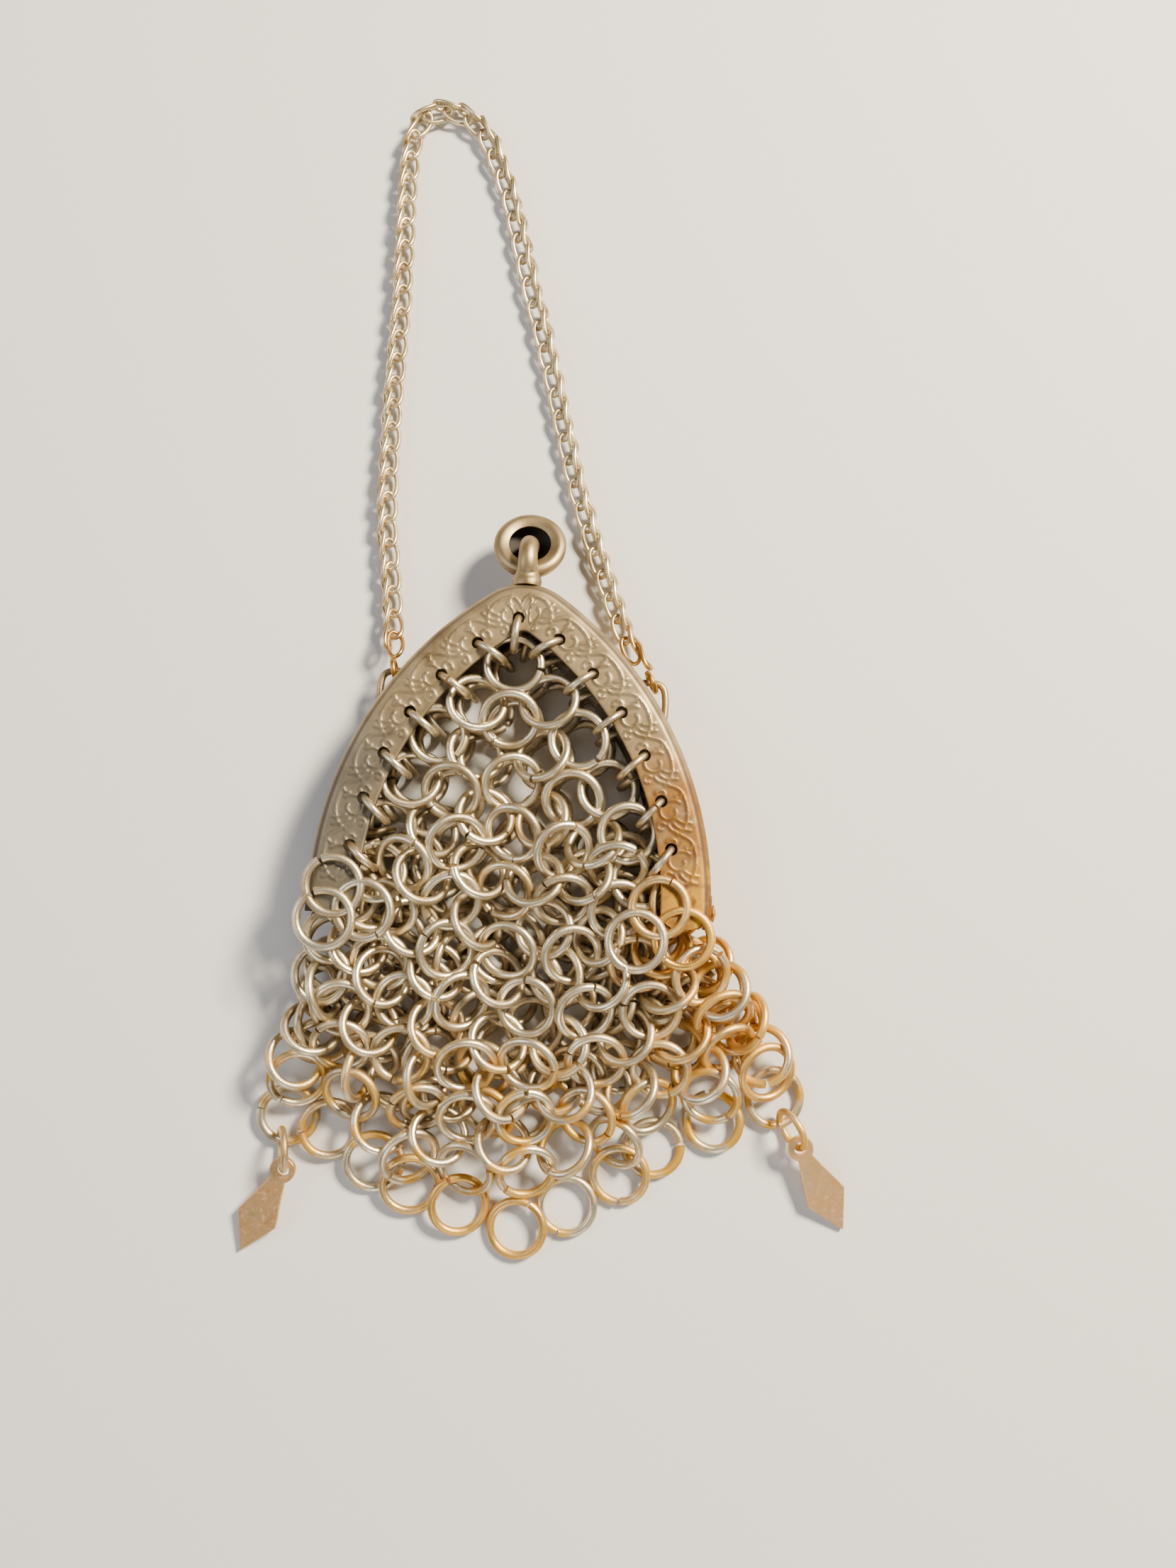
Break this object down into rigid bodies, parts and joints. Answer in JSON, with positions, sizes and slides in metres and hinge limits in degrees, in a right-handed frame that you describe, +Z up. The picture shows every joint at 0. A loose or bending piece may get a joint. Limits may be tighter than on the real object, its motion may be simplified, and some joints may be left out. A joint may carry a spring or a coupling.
{
  "type": "metal mesh coin purse",
  "caption": "Small ring mesh coin purse with an arched hinged frame, a button clasp, a long chain handle and kite drops at its corners, lying flat on its back.",
  "frame": {"origin": "on the flat back face of the back half of the frame, on the purse's axis, 1.9 mm below the clasp end of the arch; the surface it lies on is 0.85 mm further back", "axes": "+X to the right, +Y along the purse's axis towards the clasp and the handle, +Z up to the viewer"},
  "size_m": [0.0543, 0.1109, 0.0077],
  "materials": {
    "frame": "satin, tarnished",
    "rings": "worn, tarnished",
    "chain": "worn",
    "drops": "dull, tarnished"
  },
  "bodies": {
    "root": {"front_frame": "frame", "back_frame": "frame", "clasp_knob": "frame", "hinge_pin_left": "frame", "hinge_pin_right": "frame", "mesh_front": "rings", "mesh_back": "rings", "jump_ring_front_01": "rings", "jump_ring_front_02": "rings", "jump_ring_front_03": "rings", "jump_ring_front_04": "rings", "jump_ring_front_05": "rings", "jump_ring_front_06": "rings", "jump_ring_front_07": "rings", "jump_ring_front_08": "rings", "jump_ring_front_09": "rings", "jump_ring_front_10": "rings", "jump_ring_front_11": "rings", "jump_ring_front_12": "rings", "jump_ring_front_13": "rings", "jump_ring_back_01": "rings", "jump_ring_back_02": "rings", "jump_ring_back_03": "rings", "jump_ring_back_04": "rings", "jump_ring_back_05": "rings", "jump_ring_back_06": "rings", "jump_ring_back_07": "rings", "jump_ring_back_08": "rings", "jump_ring_back_09": "rings", "jump_ring_back_10": "rings", "jump_ring_back_11": "rings", "jump_ring_back_12": "rings", "jump_ring_back_13": "rings", "end_link_left": "chain", "end_link_right": "chain", "handle_chain": "chain", "drop_ring_left": "rings", "drop_ring_right": "rings", "drop_plate_left": "drops", "drop_plate_right": "drops"}
  },
  "joints": []
}
